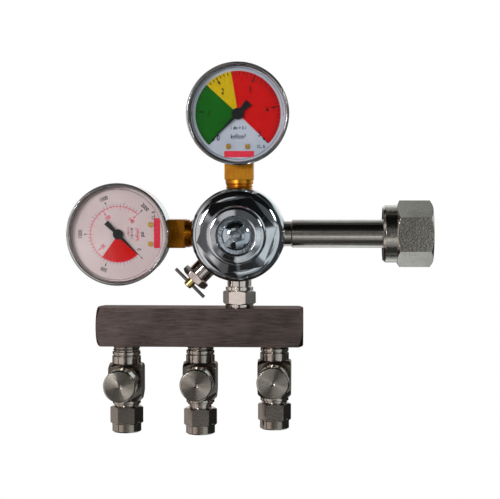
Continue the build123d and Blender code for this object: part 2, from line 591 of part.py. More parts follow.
def pressure_gauge(name, dial, pointer_tip, fan_tail):
    stem = Plane(origin=dial.origin, x_dir=dial.x_dir, z_dir=-dial.y_dir)
    screw_places = [(-DIAL_SCREW_SPACING / 2, -DIAL_SCREW_DOWN),
                    (DIAL_SCREW_SPACING / 2, -DIAL_SCREW_DOWN)]

    # drawn steel case with its rolled rim, and a hole for the neck of the socket
    with BuildPart() as case:
        turn(dial, (0, GAUGE_BACK), (CASE_R - 1.6, GAUGE_BACK), (CASE_R, GAUGE_BACK + 1.6),
             (CASE_R, BEZEL_FROM), (GAUGE_R, BEZEL_FROM + 0.8), (GAUGE_R, GAUGE_FRONT - 0.6),
             (GAUGE_R - 0.6, GAUGE_FRONT), (CASE_ROOM_R + 0.5, GAUGE_FRONT),
             (CASE_ROOM_R, GAUGE_FRONT - 0.6), (CASE_ROOM_R, GAUGE_BACK + CASE_WALL),
             (0, GAUGE_BACK + CASE_WALL))
        bore(stem, 5.4, CASE_ROOM_R - 2, CASE_R + 1)
    keep(case, f"{name}_case")

    # clear lens that snaps into the rim, with its two prising notches
    with BuildPart() as lens:
        turn(dial, (0, LENS_BACK), (CASE_ROOM_R, LENS_BACK), (CASE_ROOM_R, LENS_TOP),
             (CASE_ROOM_R - 0.9, LENS_TOP), (CASE_ROOM_R - 1.4, LENS_TOP - 0.6),
             (0, LENS_TOP - 0.6))
        with BuildSketch(dial.offset(LENS_BACK)) as notch:
            with Locations((-CASE_ROOM_R, 0), (CASE_ROOM_R, 0)):
                Rectangle(1.6, 2.4)
        extrude(notch.sketch, amount=LENS_TOP, mode=Mode.SUBTRACT)
    keep(lens, f"{name}_lens")

    # dial plate and its two screws
    with BuildPart() as plate:
        rod(dial, DIAL_R, DIAL_BACK, DIAL_FACE)
        bore(dial, 1.6, DIAL_BACK, DIAL_FACE)
        for place in screw_places:
            bore(dial, 0.7, DIAL_BACK, DIAL_FACE, at=place)
    keep(plate, f"{name}_dial")

    with BuildPart() as screws:
        for place in screw_places:
            rod(dial, 0.7, DIAL_BACK - 2.6, DIAL_FACE, at=place)
            rod(dial, 1.35, DIAL_FACE, DIAL_FACE + 0.7, at=place)
        with BuildSketch(dial.offset(DIAL_FACE + 0.35)) as slots:
            with Locations(*screw_places):
                Rectangle(3, 0.4, rotation=25)
        extrude(slots.sketch, amount=1, mode=Mode.SUBTRACT)
    keep(screws, f"{name}_screws")

    # socket: screwed stem, spanner square, neck and the block that carries the rest
    with BuildPart() as socket:
        bar(stem, BLOCK_FLATS, 4, CASE_R - 2, BLOCK_END)
        bore(dial, CASE_R, GAUGE_BACK - 2, GAUGE_FRONT)
        rod(stem, 5.4, BLOCK_TO - 1, CASE_R + 1)
        thread_from = GAUGE_REACH - BODY_R + 1.2
        thread_to = GAUGE_REACH - PORT_FLOOR
        turn(stem, (0, BLOCK_END), (COLLAR_R, BLOCK_END), (COLLAR_R, COLLAR_END),
             (PIPE_ROOT_R, COLLAR_END + 0.3), (PIPE_ROOT_R, thread_from),
             (PIPE_R, thread_from), (PIPE_R, thread_to - 0.5), (PIPE_R - 0.5, thread_to),
             (0, thread_to))
        with BuildSketch(dial.offset(-4)) as block:
            with Locations((0, -(BLOCK_FROM + BLOCK_TO) / 2)):
                Rectangle(BLOCK_WIDTH, BLOCK_TO - BLOCK_FROM)
        extrude(block.sketch, amount=DIAL_BACK + 4)
        for place in screw_places:
            bore(dial, 0.7, DIAL_BACK - 2.6, DIAL_BACK, at=place)
        bore(stem, 1.4, BLOCK_FROM + 2.5, thread_to)
        bourdon_ring(dial, 1.2, 3.4, TUBE_FROM - 8, 40, Mode.SUBTRACT)
    keep(socket, f"{name}_socket")

    # Bourdon tube, from its slot in the block round to its closed tip
    with BuildPart() as tube:
        bourdon_ring(dial, 1.2, 3.4, TUBE_FROM, TUBE_SWEEP)
        bourdon_ring(dial, 0.8, 2.9, TUBE_FROM - 1, TUBE_SWEEP - 6, Mode.SUBTRACT)
    keep(tube, f"{name}_tube")

    # movement: two plates on pillars
    pivot = (0, -PINION_R - SECTOR_R)
    with BuildPart() as movement:
        for low in (PLATE_BACK, PLATE_FRONT):
            with BuildSketch(dial.offset(low)) as frame:
                with BuildLine():
                    Polyline((-8, -BLOCK_FROM), (8, -BLOCK_FROM), (8, -9), (2.4, 5.8),
                             (-2.4, 5.8), (-8, -9), close=True)
                make_face()
            extrude(frame.sketch, amount=PLATE)
            bore(dial, ARBOR_R + RUNNING, low, low + PLATE)
            bore(dial, PIVOT_R + RUNNING, low, low + PLATE, at=pivot)
        for place in PILLARS:
            rod(dial, 0.9, PLATE_BACK, PLATE_FRONT, at=place)
    keep(movement, f"{name}_movement")

    # the sector swings through 45 degrees and drives the pinion through 270
    step = 360 / SECTOR_TEETH
    sector_angles = [90 + step * (count - 8) for count in range(9)] + [96]
    with BuildPart() as sector:
        with BuildSketch(dial.offset(5.2)) as wheel:
            with BuildLine():
                Polyline(polar(1.4, sector_angles[0] - 60, pivot),
                         *teeth(SECTOR_R, SECTOR_TEETH, sector_angles, pivot),
                         polar(1.4, sector_angles[-1] + 60, pivot), close=True)
            make_face()
            with Locations(pivot):
                Circle(1.5)
        extrude(wheel.sketch, amount=1.0)
        rod(dial, PIVOT_R, PLATE_BACK, PLATE_FRONT + PLATE, at=pivot)
    keep(sector, f"{name}_sector")

    pinion_angles = [-90 + (count + 0.5) * 360 / PINION_TEETH for count in range(PINION_TEETH)]
    with BuildPart() as pinion:
        with BuildSketch(dial.offset(4.6)) as leaves:
            with BuildLine():
                Polyline(*teeth(PINION_R, PINION_TEETH, pinion_angles), close=True)
            make_face()
        extrude(leaves.sketch, amount=2.2)
        rod(dial, ARBOR_R, PLATE_BACK, POINTER_BACK)
    keep(pinion, f"{name}_pinion")

    # pointer on the end of the pinion's arbor
    with BuildPart() as pointer:
        with BuildSketch(dial.offset(POINTER_BACK)) as blade:
            hub_r = 2.9 if fan_tail else 2.5
            tail = 7.6 if fan_tail else 8.2
            spread = 1.9 if fan_tail else 1.25
            with BuildLine(Plane.XY.rotated((0, 0, POINTER_REST))):
                Polyline((pointer_tip, 0.12), (0, 0.75), (-hub_r / 2, 0.8), (-tail, spread),
                         (-tail, -spread), (-hub_r / 2, -0.8), (0, -0.75),
                         (pointer_tip, -0.12), close=True)
            make_face()
            Circle(hub_r)
        extrude(blade.sketch, amount=POINTER_TOP - POINTER_BACK)
    keep(pointer, f"{name}_pointer")


delivery_dial = Plane(origin=CENTRE + Vector(0, 0, GAUGE_REACH), x_dir=RIGHT, z_dir=FRONT)
cylinder_dial = Plane(origin=CENTRE - Vector(GAUGE_REACH, 0, 0), x_dir=UP, z_dir=FRONT)
pressure_gauge("delivery_gauge", delivery_dial, pointer_tip=17.5, fan_tail=True)
pressure_gauge("cylinder_gauge", cylinder_dial, pointer_tip=14.0, fan_tail=False)
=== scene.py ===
import json
from math import cos, pi, radians, sin, tau

import bmesh
import bpy
from mathutils import Matrix, Vector


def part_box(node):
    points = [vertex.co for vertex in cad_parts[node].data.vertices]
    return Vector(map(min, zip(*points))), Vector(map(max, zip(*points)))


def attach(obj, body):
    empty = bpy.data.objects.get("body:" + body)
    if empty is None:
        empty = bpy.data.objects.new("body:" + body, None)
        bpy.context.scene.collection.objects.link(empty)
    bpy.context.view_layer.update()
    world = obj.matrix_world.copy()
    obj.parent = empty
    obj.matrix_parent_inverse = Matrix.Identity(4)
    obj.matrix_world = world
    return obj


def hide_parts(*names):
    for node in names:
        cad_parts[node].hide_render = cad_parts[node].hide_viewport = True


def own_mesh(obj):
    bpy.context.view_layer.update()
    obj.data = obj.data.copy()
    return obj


# A carbon dioxide regulator for a drinks cylinder, hung by its inlet nut. The pieces
# follow each other as they are put together on the bench: body, inner works, bonnet,
# inlet, relief valve, manifold, shut-off valves, gauges. Metres. +X runs out of the
# inlet nut, -Y is the front with the dials, and +Z is up.

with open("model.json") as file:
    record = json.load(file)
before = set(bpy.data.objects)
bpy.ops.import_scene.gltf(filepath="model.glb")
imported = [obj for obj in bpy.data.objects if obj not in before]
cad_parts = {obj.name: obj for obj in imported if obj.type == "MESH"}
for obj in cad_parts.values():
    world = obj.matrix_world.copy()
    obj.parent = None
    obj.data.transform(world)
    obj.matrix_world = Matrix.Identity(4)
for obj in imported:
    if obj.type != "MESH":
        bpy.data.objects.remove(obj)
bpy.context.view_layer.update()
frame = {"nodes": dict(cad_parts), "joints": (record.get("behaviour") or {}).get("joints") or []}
MM = 0.001


# Regulator body. A round brass turning, bored from the front and tapped for five
# fittings, then polished and chromed. It stands behind the bonnet's flange.
HAZE = 9 * MM
SPECK = 0.55 * MM


class Wire:
    """A value on its way through a finish. Arithmetic on it adds Math nodes."""

    def __init__(self, finish, socket):
        self.finish = finish
        self.socket = socket

    def __add__(self, other):
        return self.finish.math("ADD", self, other)

    def __radd__(self, other):
        return self.finish.math("ADD", other, self)

    def __sub__(self, other):
        return self.finish.math("SUBTRACT", self, other)

    def __rsub__(self, other):
        return self.finish.math("SUBTRACT", other, self)

    def __mul__(self, other):
        return self.finish.math("MULTIPLY", self, other)

    def __rmul__(self, other):
        return self.finish.math("MULTIPLY", other, self)


class Finish:
    """What one surface is made of: a Principled shader and the nodes that vary it."""

    def __init__(self, name, colour, roughness, metal=0.0, **plain):
        self.material = bpy.data.materials.new(name)
        self.material.use_nodes = True
        self.tree = self.material.node_tree
        self.shader = self.tree.nodes["Principled BSDF"]
        self.place = self.node("TexCoord", output="Object")
        self.feed("Base Color", (*colour, 1.0))
        self.feed("Roughness", roughness)
        self.feed("Metallic", metal)
        for name, value in plain.items():
            self.feed(name.replace("_", " ").title().replace("Ior", "IOR"), value)

    def join(self, socket, value):
        if isinstance(value, Wire):
            self.tree.links.new(value.socket, socket)
        else:
            socket.default_value = value

    def feed(self, name, value):
        self.join(self.shader.inputs[name], value)

    def node(self, kind, settings=None, inputs=None, output=0):
        """Adds one node. Its settings come first, then the values or wires of its sockets."""
        made = self.tree.nodes.new("ShaderNode" + kind)
        for name, value in (settings or {}).items():
            setattr(made, name, value)
        for name, value in (inputs or {}).items():
            self.join(made.inputs[name], value)
        return Wire(self, made.outputs[output])

    def math(self, operation, first, second=0.0):
        return self.node("Math", {"operation": operation}, {0: first, 1: second})

    def parts(self, place):
        """The three numbers of a place."""
        first = self.node("SeparateXYZ", {}, {0: place})
        return [Wire(self, output) for output in first.socket.node.outputs]

    def cloud(self, size, detail=2.0, grain=(1.0, 1.0, 1.0)):
        """Soft noise from 0 to 1, with lumps of about that size, drawn out along the grain."""
        place = self.node("Mapping", {"vector_type": "TEXTURE"},
                          {"Vector": self.place, "Scale": grain})
        return self.node("TexNoise", {}, {"Vector": place, "Scale": 1 / size, "Detail": detail})

    def between(self, share, low, high):
        """Spreads a share over a range, clamped at both ends."""
        return self.node("MapRange", {}, {"Value": share, "From Min": low, "From Max": high})

    def tint(self, share, first, second):
        """A colour between two, by a share."""
        return self.node("Mix", {"data_type": "RGBA"},
                         {0: share, 6: (*first, 1.0), 7: (*second, 1.0)}, 2)

    def relief(self, height, edge=0.0):
        """Raises the surface by a height in metres, and rounds its edges in the light."""
        under = {"Height": height, "Distance": 1.0}
        if edge:
            under["Normal"] = self.node("Bevel", {"samples": 4}, {"Radius": edge})
        self.feed("Normal", self.node("Bump", {}, under))


def plated(name, colour, dull, roughness=0.09, ripple=0.0, ripple_size=2.5 * MM, pits=0.0,
           edge=0.25 * MM, haziness=0.05, speckle=0.08):
    """Polished plating: hazy patches, a ripple from polishing, and pits in the metal below."""
    finish = Finish(name, colour, roughness, metal=1.0)
    haze = finish.cloud(HAZE, 4.0)
    specks = finish.cloud(SPECK, 3.0)
    finish.feed("Base Color", finish.tint(finish.between(haze, 0.45, 0.85), colour, dull))
    finish.feed("Roughness", roughness + haze * haziness
                + finish.between(specks, 0.62, 0.78) * speckle)
    waves = finish.cloud(ripple_size, 2.0)
    finish.relief(waves * ripple + finish.between(specks, 0.55, 0.8) * -pits, edge)
    return finish


def dress(finish, *names):
    """Gives CAD nodes their finish."""
    for name in names:
        surface = frame["nodes"][name].data
        surface.materials.clear()
        surface.materials.append(finish.material)


body_chrome = plated("body_chrome", (0.62, 0.60, 0.57), (0.46, 0.43, 0.40),
                     ripple=0.02 * MM, pits=0.01 * MM)
dress(body_chrome, "regulator_body")


# Seat and poppet, which shut off the cylinder gas. The nozzle, the poppet and the slip
# ring are turned from brass bar. Springs are wound from oiled wire.
TOOL_MARK = 0.35 * MM
TARNISH = 4 * MM
ALONG_Y = (1.0, 0.08, 1.0)
SPRINGS = (("poppet_spring", "poppet_lift"), ("regulating_spring", "spring_seat_slide"),
           ("relief_spring", "relief_pull"))


def turned_metal(name, colour, dark, roughness, axis_grain):
    """Bare metal off the lathe, with fine tool marks and a little tarnish."""
    finish = Finish(name, colour, roughness, metal=1.0)
    marks = finish.cloud(TOOL_MARK, 1.0, axis_grain)
    tarnish = finish.cloud(TARNISH, 4.0)
    finish.feed("Base Color", finish.tint(finish.between(tarnish, 0.45, 0.75), colour, dark))
    finish.feed("Roughness", roughness + (marks - 0.5) * 0.18 + tarnish * 0.1)
    finish.relief(marks * (0.012 * MM), 0.15 * MM)
    return finish


def finish_piece(shape, name, finish, body, crease=None):
    """Turns a shape into a piece of the object, carried by a body."""
    bmesh.ops.recalc_face_normals(shape, faces=shape.faces)
    surface = bpy.data.meshes.new(name)
    shape.to_mesh(surface)
    shape.free()
    surface.materials.append(finish.material)
    if crease is not None:
        surface.shade_smooth()
        surface.set_sharp_from_angle(angle=crease)
    piece = bpy.data.objects.new(name, surface)
    bpy.context.scene.collection.objects.link(piece)
    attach(piece, body)
    return piece


turned_brass = turned_metal("turned_brass", (0.72, 0.50, 0.18), (0.45, 0.28, 0.09), 0.22, ALONG_Y)
spring_steel = turned_metal("spring_steel", (0.36, 0.36, 0.38), (0.2, 0.19, 0.19), 0.3, ALONG_Y)
dress(turned_brass, "seat_nozzle", "poppet", "slip_ring")

for name, joint in SPRINGS:
    slide = next(row for row in frame["joints"] if row["name"] == joint)
    push = Vector(slide["axis"]).normalized()
    shape = bmesh.new()
    shape.from_mesh(frame["nodes"][name].data)
    bmesh.ops.remove_doubles(shape, verts=shape.verts, dist=0.001 * MM)
    reach = [vertex.co.dot(push) for vertex in shape.verts]
    foot = max(reach)
    travel = slide["range_m"][1]
    spring = finish_piece(shape, "wound_" + name, spring_steel, "regulator",
                          crease=radians(30))
    1 - travel / (foot - min(reach))
    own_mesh(spring)
    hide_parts(name)


# Diaphragm stack: a disc of black rubber on woven cloth under a turned steel plate, and
# above the spring the seat that the adjusting screw bears on.
WEAVE = 0.6 * MM

rubber = Finish("diaphragm_rubber", (0.025, 0.025, 0.027), 0.6)
warp, weft = [rubber.node("TexWave", {"bands_direction": direction},
                          {"Vector": rubber.place, "Scale": 0.3 / WEAVE})
              for direction in ("X", "Z")]
rubber.relief(warp * weft * (0.06 * MM))
plain_steel = turned_metal("plain_steel", (0.5, 0.5, 0.5), (0.34, 0.32, 0.3), 0.28, ALONG_Y)
dress(rubber, "diaphragm")
dress(plain_steel, "diaphragm_plate", "upper_spring_seat")


# Bonnet and adjusting screw. The bonnet is turned and milled from hexagon brass, buffed
# until its faces ripple, and chromed; the domed screw is turned with a driver slot.

bonnet_chrome = plated("bonnet_chrome", (0.66, 0.70, 0.74), (0.50, 0.52, 0.56), 0.015,
                       ripple=0.03 * MM, ripple_size=4.5 * MM, pits=0.003 * MM,
                       edge=0.35 * MM, haziness=0.03, speckle=0.0)
screw_chrome = plated("screw_chrome", (0.48, 0.54, 0.60), (0.34, 0.38, 0.43), 0.04,
                      ripple=0.02 * MM)
dress(bonnet_chrome, "bonnet")
dress(screw_chrome, "adjusting_screw")


# Inlet. The stem is polished bar with a flange on its end, a bronze filter pressed into
# it and a nylon washer against it. The nut is plated over a bead-blasted forging.
ROUND_THE_STEM = (1.0, 14.0, 14.0)
FILTER_BEAD = 0.4 * MM

stem_polish = plated("polished_stem", (0.62, 0.58, 0.53), (0.50, 0.46, 0.41), 0.10)
turning = stem_polish.cloud(0.22 * MM, 3.0, ROUND_THE_STEM)
flecks = stem_polish.cloud(0.8 * MM, 3.0)
stem_polish.relief(turning * (0.03 * MM) + flecks * (0.03 * MM), 0.25 * MM)
nut_nickel = plated("nut_nickel", (0.60, 0.56, 0.50), (0.40, 0.37, 0.34), 0.12,
                    ripple=0.05 * MM, ripple_size=1.1 * MM, pits=0.03 * MM, edge=0.4 * MM)
nylon = Finish("washer_nylon", (0.78, 0.76, 0.68), 0.45)
nylon.feed("Base Color", nylon.tint(nylon.cloud(3 * MM, 3.0),
                                    (0.80, 0.78, 0.70), (0.68, 0.65, 0.56)))
nylon.relief(nylon.cloud(0.5 * MM) * (0.02 * MM), 0.2 * MM)
sinter = Finish("sintered_bronze", (0.42, 0.27, 0.12), 0.55, metal=1.0)
beads = sinter.node("TexVoronoi", {}, {"Vector": sinter.place, "Scale": 1 / FILTER_BEAD})
sinter.relief(beads * (-0.12 * MM))
dress(stem_polish, "inlet_stem")
dress(nut_nickel, "inlet_nut")
dress(nylon, "inlet_washer")
dress(sinter, "inlet_filter")


# Relief valve: a small plated hexagon body, a brass stem that guides the plunger, and a
# ground steel pin through the stem to pull it by.
EVEN = (1.0, 1.0, 1.0)

relief_nickel = plated("relief_nickel", (0.70, 0.60, 0.56), (0.52, 0.43, 0.40), 0.06,
                       ripple=0.02 * MM)
pull_steel = turned_metal("pull_bar_steel", (0.30, 0.29, 0.28), (0.14, 0.13, 0.12), 0.3, EVEN)
relief_brass = turned_metal("relief_brass", (0.78, 0.55, 0.17), (0.5, 0.32, 0.1), 0.18, EVEN)
dress(relief_nickel, "relief_body")
dress(relief_brass, "relief_stem")
dress(pull_steel, "relief_crossbar")


# Nipple and manifold. The manifold is square stainless bar with the mill's brushing
# along it, faced and chamfered in the lathe, drilled through and plugged at one end.
BRUSH_HAIR = 0.35 * MM
BRUSH_BAND = 3.5 * MM
STAIN = 14 * MM
NICK = 0.7 * MM

# The steel's colour is darker than stainless steel. It is partly the bar's own brown-grey and
# partly painted reflection, darkened for the dark room that its front faces reflect.
manifold_steel = Finish("manifold_steel", (0.20, 0.155, 0.145), 0.32, metal=1.0)
hairs = manifold_steel.cloud(BRUSH_HAIR, 3.0, (24.0, 1.0, 1.0))
bands = manifold_steel.cloud(BRUSH_BAND, 2.0, (6.0, 1.0, 1.0))
stains = manifold_steel.cloud(STAIN, 3.0)
shade = manifold_steel.between(hairs * 0.5 + bands * 0.25 + stains * 0.25, 0.38, 0.62)
manifold_steel.feed("Base Color", manifold_steel.tint(shade, (0.125, 0.095, 0.088),
                                                      (0.20, 0.155, 0.145)))
manifold_steel.feed("Roughness", 0.32 + (hairs - 0.5) * 0.3 + (stains - 0.5) * 0.2)
manifold_steel.feed("Specular Tint", (0.30, 0.26, 0.24, 1.0))
nicks = manifold_steel.between(manifold_steel.cloud(NICK, 1.0, (2.5, 1.0, 1.0)), 0.72, 0.78)
manifold_steel.relief(hairs * (0.02 * MM) + nicks * (-0.03 * MM), 0.25 * MM)
nipple_nickel = plated("nipple_nickel", (0.68, 0.62, 0.57), (0.50, 0.44, 0.40), 0.06,
                       ripple=0.02 * MM)
dress(manifold_steel, "manifold", "manifold_plug")
dress(nipple_nickel, "outlet_nipple")


# Shut-off valves. Each body is turned from square bar and screwed up under the manifold
# on a pipe thread; its knob is faced in the lathe, which leaves rings across its face.
BARE_THREAD = {1: 3.0 * MM, 2: 2.2 * MM, 3: 1.0 * MM}   # by valve, under the manifold
THREAD_STEPS = 40
PIPE_PITCH = 1.41 * MM
PIPE_ROOT = 6.1 * MM
PIPE_CREST = 6.75 * MM
RIDGE_FOOT = 0.44 * PIPE_PITCH
RIDGE_LAND = 0.06 * PIPE_PITCH
THREAD_IN_BAR = 0.9 * PIPE_PITCH
KNOB_STEPS = 128
KNOB_BORE = 2.05 * MM
KNOB_NECK = 3.6 * MM
KNOB_BACK = 6.6 * MM
NIB_BORE = 0.55 * MM
FACE_FROM = 0.8 * MM
GROOVE = 0.42 * MM
GROOVE_DEPTH = 0.035 * MM


def seat_at(origin, x_axis, z_axis):
    """A place on the object, as a matrix that turns +Z into the given direction."""
    x_axis = Vector(x_axis).normalized()
    z_axis = Vector(z_axis).normalized()
    y_axis = z_axis.cross(x_axis)
    turned = Matrix((x_axis, y_axis, z_axis)).transposed().to_4x4()
    return Matrix.Translation(origin) @ turned


def chain(shape, corners):
    """A closed outline in the XZ plane, as vertices joined by edges."""
    points = [shape.verts.new((x, 0, z)) for x, z in corners]
    return points + [shape.edges.new(pair) for pair in zip(points, points[1:] + points[:1])]


def lathe(corners, seat, steps):
    """Turns a closed outline of (radius, height) corners about the seat's z axis."""
    shape = bmesh.new()
    bmesh.ops.spin(shape, geom=chain(shape, corners), cent=(0, 0, 0), axis=(0, 0, 1),
                   angle=tau, steps=steps, use_merge=True)
    bmesh.ops.transform(shape, matrix=seat, verts=shape.verts)
    return shape


def thread(seat, low, high):
    """A pipe thread: one ridge wound up the seat's z axis, closed at both ends."""
    shape = bmesh.new()
    ridge = [(PIPE_ROOT, low - RIDGE_FOOT), (PIPE_CREST, low - RIDGE_LAND),
             (PIPE_CREST, low + RIDGE_LAND), (PIPE_ROOT, low + RIDGE_FOOT)]
    steps = round((high - low) / PIPE_PITCH * THREAD_STEPS)
    bmesh.ops.spin(shape, geom=chain(shape, ridge), cent=(0, 0, 0), axis=(0, 0, 1),
                   dvec=(0, 0, PIPE_PITCH / THREAD_STEPS), angle=tau * steps / THREAD_STEPS,
                   steps=steps)
    bmesh.ops.holes_fill(shape, edges=[edge for edge in shape.edges if edge.is_boundary])
    bmesh.ops.transform(shape, matrix=seat, verts=shape.verts)
    return shape


valve_nickel = plated("valve_nickel", (0.50, 0.45, 0.40), (0.30, 0.26, 0.23), 0.09,
                      ripple=0.025 * MM, ripple_size=1.6 * MM, pits=0.015 * MM)
valve_nickel.feed("Specular Tint", (0.35, 0.33, 0.31, 1.0))
gland_nickel = plated("gland_nickel", (0.55, 0.46, 0.38), (0.34, 0.26, 0.2), 0.14,
                      ripple=0.02 * MM)
tube_nut_nickel = plated("tube_nut_nickel", (0.33, 0.29, 0.25), (0.22, 0.19, 0.16), 0.10,
                         ripple=0.012 * MM, ripple_size=1.4 * MM, pits=0.015 * MM)
valve_stem_steel = turned_metal("valve_stem_steel", (0.55, 0.53, 0.5), (0.36, 0.34, 0.32), 0.2,
                                ALONG_Y)
knob_metal = plated("knob_metal", (0.50, 0.46, 0.40), (0.36, 0.32, 0.28), 0.11,
                    pits=0.01 * MM)

for number, bare in BARE_THREAD.items():
    valve = f"valve_{number}_"
    dress(valve_nickel, valve + "body")
    dress(gland_nickel, valve + "gland")
    dress(valve_stem_steel, valve + "stem")
    dress(tube_nut_nickel, valve + "nut")
    dress(turned_brass, valve + "ferrule")

    low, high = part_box(valve + "knob")
    rim = (high.x - low.x) / 2
    back = -high.y
    front = -low.y
    face_to = rim - 0.7 * MM
    rings = int((face_to - FACE_FROM) / (GROOVE / 2))
    face = [(face_to - count * GROOVE / 2, front - (count % 2) * GROOVE_DEPTH)
            for count in range(rings)]
    corners = [(KNOB_BORE, back + 2.0 * MM), (KNOB_NECK, back + 2.0 * MM),
               (KNOB_NECK, back + 0.6 * MM), (KNOB_BACK, back), (rim - 0.4 * MM, back),
               (rim, back + 0.5 * MM), (rim, front - 0.9 * MM),
               (rim - 0.25 * MM, front - 0.35 * MM), *face, (NIB_BORE, front - 0.25 * MM),
               (NIB_BORE, front - 0.9 * MM), (KNOB_BORE, front - 0.9 * MM)]
    axis = seat_at(((low.x + high.x) / 2, 0, (low.z + high.z) / 2), (1, 0, 0), (0, -1, 0))
    knob = finish_piece(lathe(corners, axis, KNOB_STEPS), valve + "turned_knob", knob_metal,
                        valve + "knob", crease=radians(6))
    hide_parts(valve + "knob")

    bar_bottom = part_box("manifold")[0].z
    body_low, body_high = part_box(valve + "body")
    collar = seat_at(((body_low.x + body_high.x) / 2, 0, bar_bottom), (1, 0, 0), (0, 0, -1))
    finish_piece(thread(collar, -THREAD_IN_BAR, bare), valve + "pipe_thread", valve_nickel,
                 "regulator", crease=radians(30))


# Gauge sockets and cases. A socket is machined from square brass and keeps the marks of
# the cutter; the case is drawn from stainless sheet and polished.
FRONT = Vector((0, -1, 0))
GAUGE_RIGHT = {"delivery_gauge": Vector((1, 0, 0)), "cylinder_gauge": Vector((0, 0, 1))}
BONNET_R = 22.8 * MM
COLLAR_FROM_AXIS = 24.8 * MM
THREAD_TO_AXIS = 21.4 * MM


def machined_brass(name, colour, dark, roughness):
    """Brass off the milling machine, tarnished, with smears left by the cutter."""
    finish = Finish(name, colour, roughness, metal=1.0)
    tarnish = finish.cloud(5 * MM, 4.0)
    smears = finish.cloud(1.6 * MM, 3.0, (0.5, 1.0, 2.5))
    mottle = finish.between(tarnish * 0.6 + smears * 0.4, 0.4, 0.66)
    finish.feed("Base Color", finish.tint(mottle, colour, dark))
    finish.feed("Roughness", roughness + tarnish * 0.16 + (smears - 0.5) * 0.1)
    finish.relief(smears * (0.02 * MM), 0.3 * MM)
    return finish


socket_brass = {
    "delivery_gauge": machined_brass("bright_brass", (0.80, 0.34, 0.03),
                                     (0.52, 0.19, 0.018), 0.28),
    "cylinder_gauge": machined_brass("tarnished_brass", (0.44, 0.165, 0.011),
                                     (0.22, 0.07, 0.006), 0.2)}
movement_brass = machined_brass("movement_brass", (0.74, 0.52, 0.2), (0.5, 0.32, 0.1), 0.25)
bourdon_bronze = machined_brass("bourdon_bronze", (0.6, 0.36, 0.16), (0.4, 0.22, 0.1), 0.3)
case_steel = plated("case_steel", (0.62, 0.61, 0.61), (0.5, 0.49, 0.49), 0.08,
                    ripple=0.012 * MM, ripple_size=5 * MM, edge=0.3 * MM)

dials = {}
for gauge, right in GAUGE_RIGHT.items():
    low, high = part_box(gauge + "_dial")
    centre = Vector(((low.x + high.x) / 2, 0, (low.z + high.z) / 2))
    dials[gauge] = seat_at(centre + FRONT * -low.y, right, FRONT)
    dress(case_steel, gauge + "_case")
    dress(socket_brass[gauge], gauge + "_socket")
    dress(movement_brass, gauge + "_movement", gauge + "_sector", gauge + "_pinion")
    dress(bourdon_bronze, gauge + "_tube")
    reach = max(abs(centre.z), abs(centre.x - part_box("bonnet")[0].x - BONNET_R))
    socket_axis = seat_at(centre, right, -FRONT.cross(right))
    finish_piece(thread(socket_axis, reach - COLLAR_FROM_AXIS, reach - THREAD_TO_AXIS),
                 gauge + "_pipe_thread", socket_brass[gauge], "regulator",
                 crease=radians(30))


# Dials. Each is a white enamelled plate with its scale printed in flat inks, held by two
# slotted brass screws. Angles are degrees round the dial from its three o'clock.
INK_LIFT = 0.02 * MM
INK = 0.015 * MM
FAN_STEP = radians(3)
CAPITAL = 0.73
HEAVY = 0.018


def enamelled(name, colour, dull):
    finish = Finish(name, colour, 0.4, specular_ior_level=0.3)
    finish.feed("Base Color", finish.tint(finish.cloud(12 * MM, 2.0), colour, dull))
    finish.feed("Roughness", 0.36 + finish.cloud(2 * MM, 3.0) * 0.1)
    finish.relief(finish.cloud(0.8 * MM) * (0.003 * MM))
    return finish


# The white enamel of both dials is painted with shade: its colours are darkened to grey for the
# dim light on the dials, and tinted bluish on the delivery dial and pinkish on the cylinder dial.
painted_shade_enamels = {"delivery_gauge": enamelled("cool_enamel_painted_shade", (0.45, 0.48, 0.56), (0.31, 0.35, 0.42)),
           "cylinder_gauge": enamelled("warm_enamel_painted_shade", (0.56, 0.46, 0.47), (0.47, 0.35, 0.34))}


def printed(name, colour):
    """A flat screen-printing ink, a little uneven in gloss and depth."""
    finish = Finish(name, colour, 0.45, specular_ior_level=0.05)
    patchy = finish.cloud(1.5 * MM, 3.0)
    darker = tuple(0.85 * part for part in colour)
    finish.feed("Base Color", finish.tint(finish.between(patchy, 0.35, 0.7), colour, darker))
    finish.feed("Roughness", 0.38 + patchy * 0.16)
    return finish


black_ink = printed("black_ink", (0.004, 0.004, 0.006))
green_ink = printed("green_ink", (0.0, 0.10, 0.0))
yellow_ink = printed("yellow_ink", (0.56, 0.38, 0.0))
red_ink = printed("red_ink", (0.54, 0.0, 0.0))
scale_red_ink = printed("scale_red_ink", (0.75, 0.05, 0.10))
label_red = printed("label_red", (0.68, 0.03, 0.06))


def turned(angle):
    return Matrix.Rotation(radians(angle), 4, "Z")


def at(x, y):
    return Matrix.Translation((x, y, 0.0))


def sized(length, width):
    return Matrix.Diagonal((length, width, 1.0, 1.0))


def fan(shape, start, end, outer, inner=0.0):
    """A sector or an arc of a ring, turned clockwise from one angle to another."""
    sweep = radians(start - end)
    steps = max(1, round(sweep / FAN_STEP))
    near = shape.verts.new(turned(start) @ Vector((inner, 0, 0)))
    far = shape.verts.new(turned(start) @ Vector((outer, 0, 0)))
    edge = shape.edges.new((near, far))
    bmesh.ops.spin(shape, geom=[near, far, edge], cent=(0, 0, 0), axis=(0, 0, -1),
                   angle=sweep, steps=steps)


def stroke(shape, angle, inner, outer, width):
    """A straight mark that points at the dial's centre."""
    place = turned(angle) @ at((inner + outer) / 2, 0) @ sized(outer - inner, width)
    bmesh.ops.create_grid(shape, x_segments=1, y_segments=1, size=0.5, matrix=place)


def diamond(shape, angle, radius, length, width):
    place = turned(angle) @ at(radius, 0) @ sized(length / 2, width / 2)
    bmesh.ops.create_circle(shape, cap_ends=True, segments=4, radius=1.0, matrix=place)


